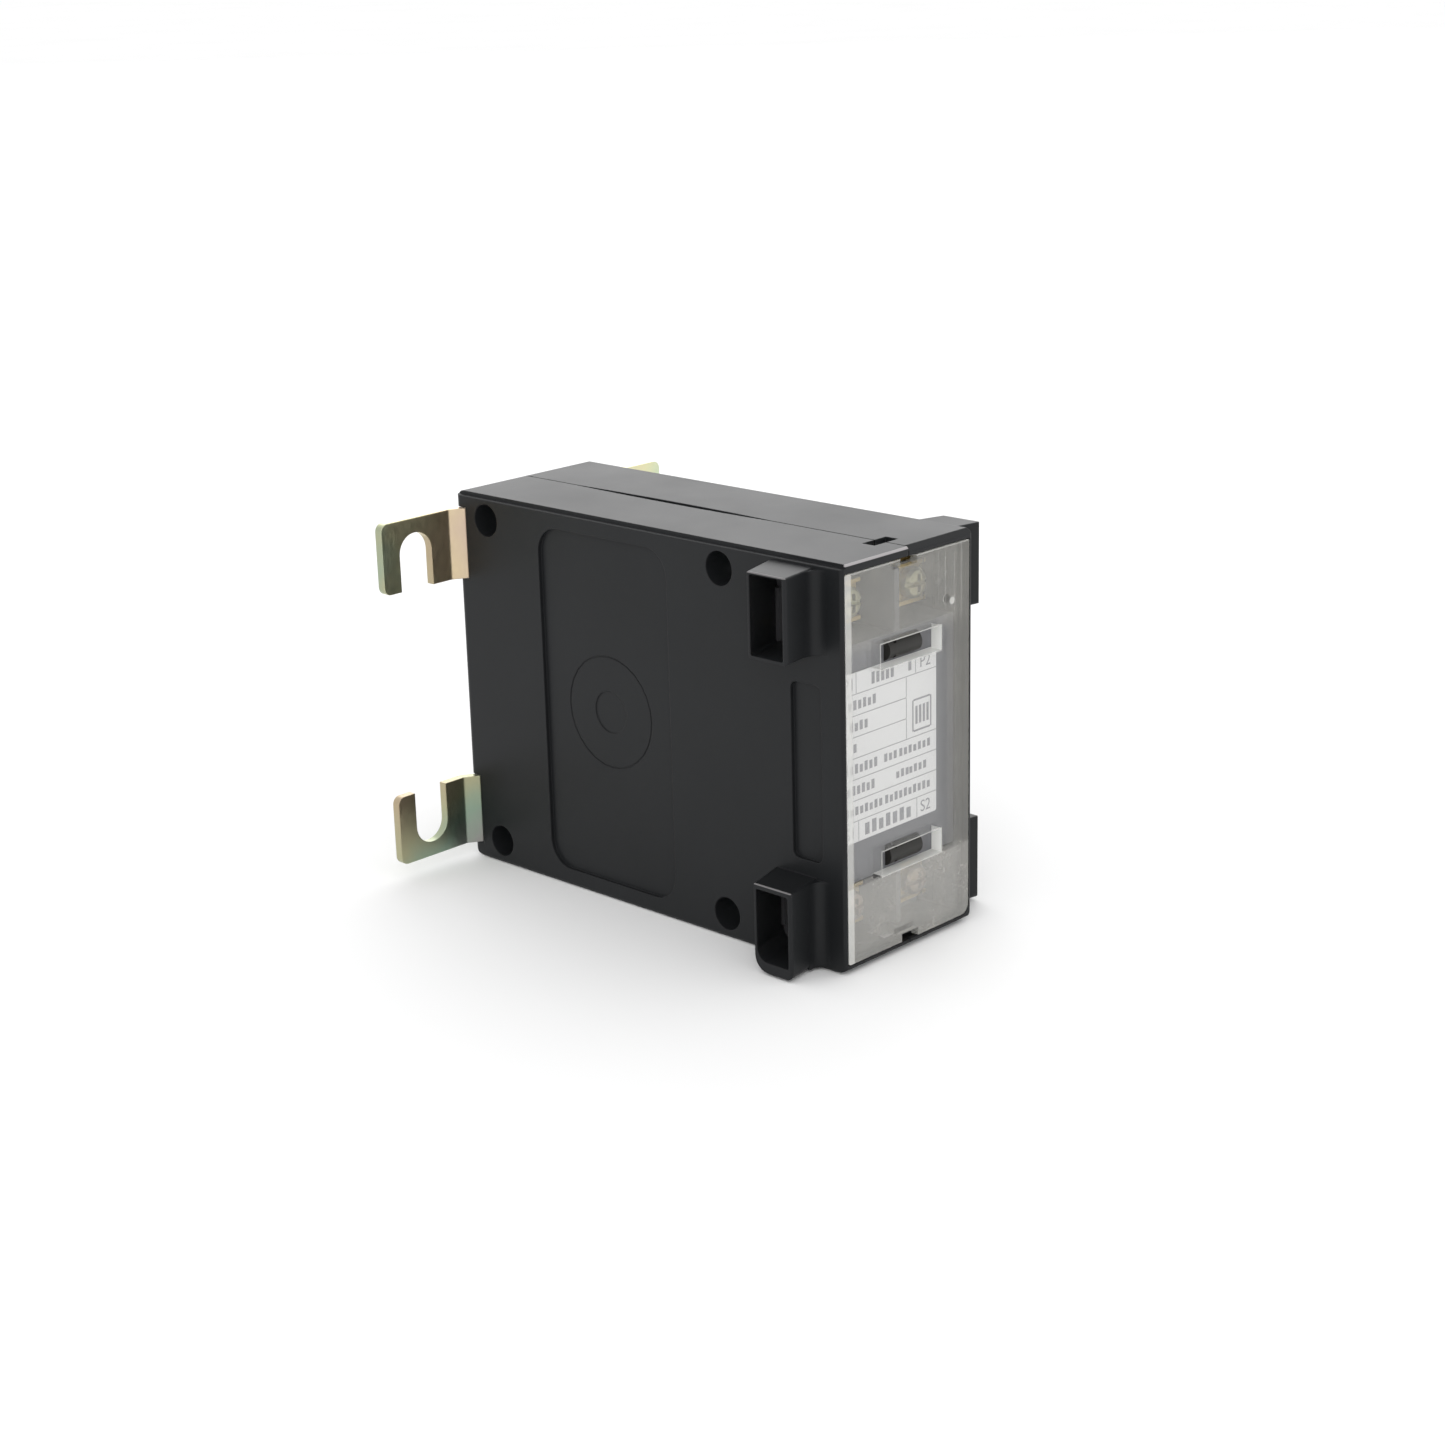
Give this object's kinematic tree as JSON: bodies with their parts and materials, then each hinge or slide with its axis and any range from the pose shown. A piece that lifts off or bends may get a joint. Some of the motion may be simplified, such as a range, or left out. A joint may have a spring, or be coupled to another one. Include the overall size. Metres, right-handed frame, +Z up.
{
  "type": "low-voltage current transformer",
  "caption": "Wound-primary current transformer in a flat black case with side cable ducts, clear terminal cover and slotted rear feet.",
  "frame": {"origin": "centre of the overall box, on the plane of the case's bottom face", "axes": "+Z up, -Y out of the terminal cover, +Y towards the fixing feet, X across the flat case"},
  "size_m": [0.086, 0.1148, 0.0862],
  "materials": {
    "black_plastic": "fine moulded grain, satin",
    "grey_plastic": "satin moulding",
    "clear_polycarbonate": "clear, slightly hazy",
    "label_film": "matt printed film",
    "chromated_zinc_steel": "yellow chromated zinc",
    "zinc_steel": "bright zinc",
    "brass": "satin",
    "silicon_steel": "varnished lamination edges",
    "nylon": "natural glass-filled nylon",
    "enamelled_copper": "enamelled copper wire",
    "polyester_tape": "yellow polyester film"
  },
  "bodies": {
    "case": {"housing_left": "black_plastic", "housing_right": "black_plastic", "terminal_board": "grey_plastic", "rating_label": "label_film", "foot_upper_left": "chromated_zinc_steel", "foot_upper_right": "chromated_zinc_steel", "foot_lower_left": "chromated_zinc_steel", "foot_lower_right": "chromated_zinc_steel", "case_screw_upper_front": "zinc_steel", "case_insert_upper_front": "brass", "case_screw_upper_back": "zinc_steel", "case_insert_upper_back": "brass", "case_screw_lower_front": "zinc_steel", "case_insert_lower_front": "brass", "case_screw_lower_back": "zinc_steel", "case_insert_lower_back": "brass", "terminal_plate_p1": "brass", "terminal_nut_p1": "zinc_steel", "lead_p1": "enamelled_copper", "terminal_plate_p2": "brass", "terminal_nut_p2": "zinc_steel", "lead_p2": "enamelled_copper", "terminal_plate_s1": "brass", "terminal_nut_s1": "zinc_steel", "lead_s1": "enamelled_copper", "terminal_plate_s2": "brass", "terminal_nut_s2": "zinc_steel", "lead_s2": "enamelled_copper", "core_e_stack": "silicon_steel", "core_i_stack": "silicon_steel", "core_rivet_1": "zinc_steel", "core_rivet_2": "zinc_steel", "core_rivet_3": "zinc_steel", "core_rivet_4": "zinc_steel", "bobbin": "nylon", "secondary_winding": "enamelled_copper", "layer_insulation": "polyester_tape", "primary_winding": "enamelled_copper", "outer_tape": "polyester_tape"},
    "cover": {"terminal_cover": "clear_polycarbonate"},
    "clamp_p1": {"clamp_washer_p1": "brass"},
    "screw_p1": {"terminal_screw_p1": "chromated_zinc_steel"},
    "clamp_p2": {"clamp_washer_p2": "brass"},
    "screw_p2": {"terminal_screw_p2": "chromated_zinc_steel"},
    "clamp_s1": {"clamp_washer_s1": "brass"},
    "screw_s1": {"terminal_screw_s1": "chromated_zinc_steel"},
    "clamp_s2": {"clamp_washer_s2": "brass"},
    "screw_s2": {"terminal_screw_s2": "chromated_zinc_steel"}
  },
  "joints": [
    {"name": "cover_pull_off", "type": "slide", "parent": "case", "child": "cover", "axis": [0, -1, 0], "range_m": [0, 0.02]},
    {"name": "clamp_p1_slide", "type": "slide", "parent": "case", "child": "clamp_p1", "axis": [0, -1, 0], "range_m": [0, 0.0028]},
    {"name": "screw_p1_turn", "type": "hinge", "parent": "clamp_p1", "child": "screw_p1", "pos_m": [-0.0103, -0.0494, 0.0756], "axis": [0, -1, 0], "range_deg": [0, 1440]},
    {"name": "clamp_p2_slide", "type": "slide", "parent": "case", "child": "clamp_p2", "axis": [0, -1, 0], "range_m": [0, 0.0028]},
    {"name": "screw_p2_turn", "type": "hinge", "parent": "clamp_p2", "child": "screw_p2", "pos_m": [0.0103, -0.0494, 0.0756], "axis": [0, -1, 0], "range_deg": [0, 1440]},
    {"name": "clamp_s1_slide", "type": "slide", "parent": "case", "child": "clamp_s1", "axis": [0, -1, 0], "range_m": [0, 0.0028]},
    {"name": "screw_s1_turn", "type": "hinge", "parent": "clamp_s1", "child": "screw_s1", "pos_m": [-0.0103, -0.0494, 0.0106], "axis": [0, -1, 0], "range_deg": [0, 1440]},
    {"name": "clamp_s2_slide", "type": "slide", "parent": "case", "child": "clamp_s2", "axis": [0, -1, 0], "range_m": [0, 0.0028]},
    {"name": "screw_s2_turn", "type": "hinge", "parent": "clamp_s2", "child": "screw_s2", "pos_m": [0.0103, -0.0494, 0.0106], "axis": [0, -1, 0], "range_deg": [0, 1440]}
  ],
  "couplings": [
    {"joint": "screw_p1_turn", "follows": "clamp_p1_slide", "rad_per_m": 8976},
    {"joint": "screw_p2_turn", "follows": "clamp_p2_slide", "rad_per_m": 8976},
    {"joint": "screw_s1_turn", "follows": "clamp_s1_slide", "rad_per_m": 8976},
    {"joint": "screw_s2_turn", "follows": "clamp_s2_slide", "rad_per_m": 8976}
  ]
}
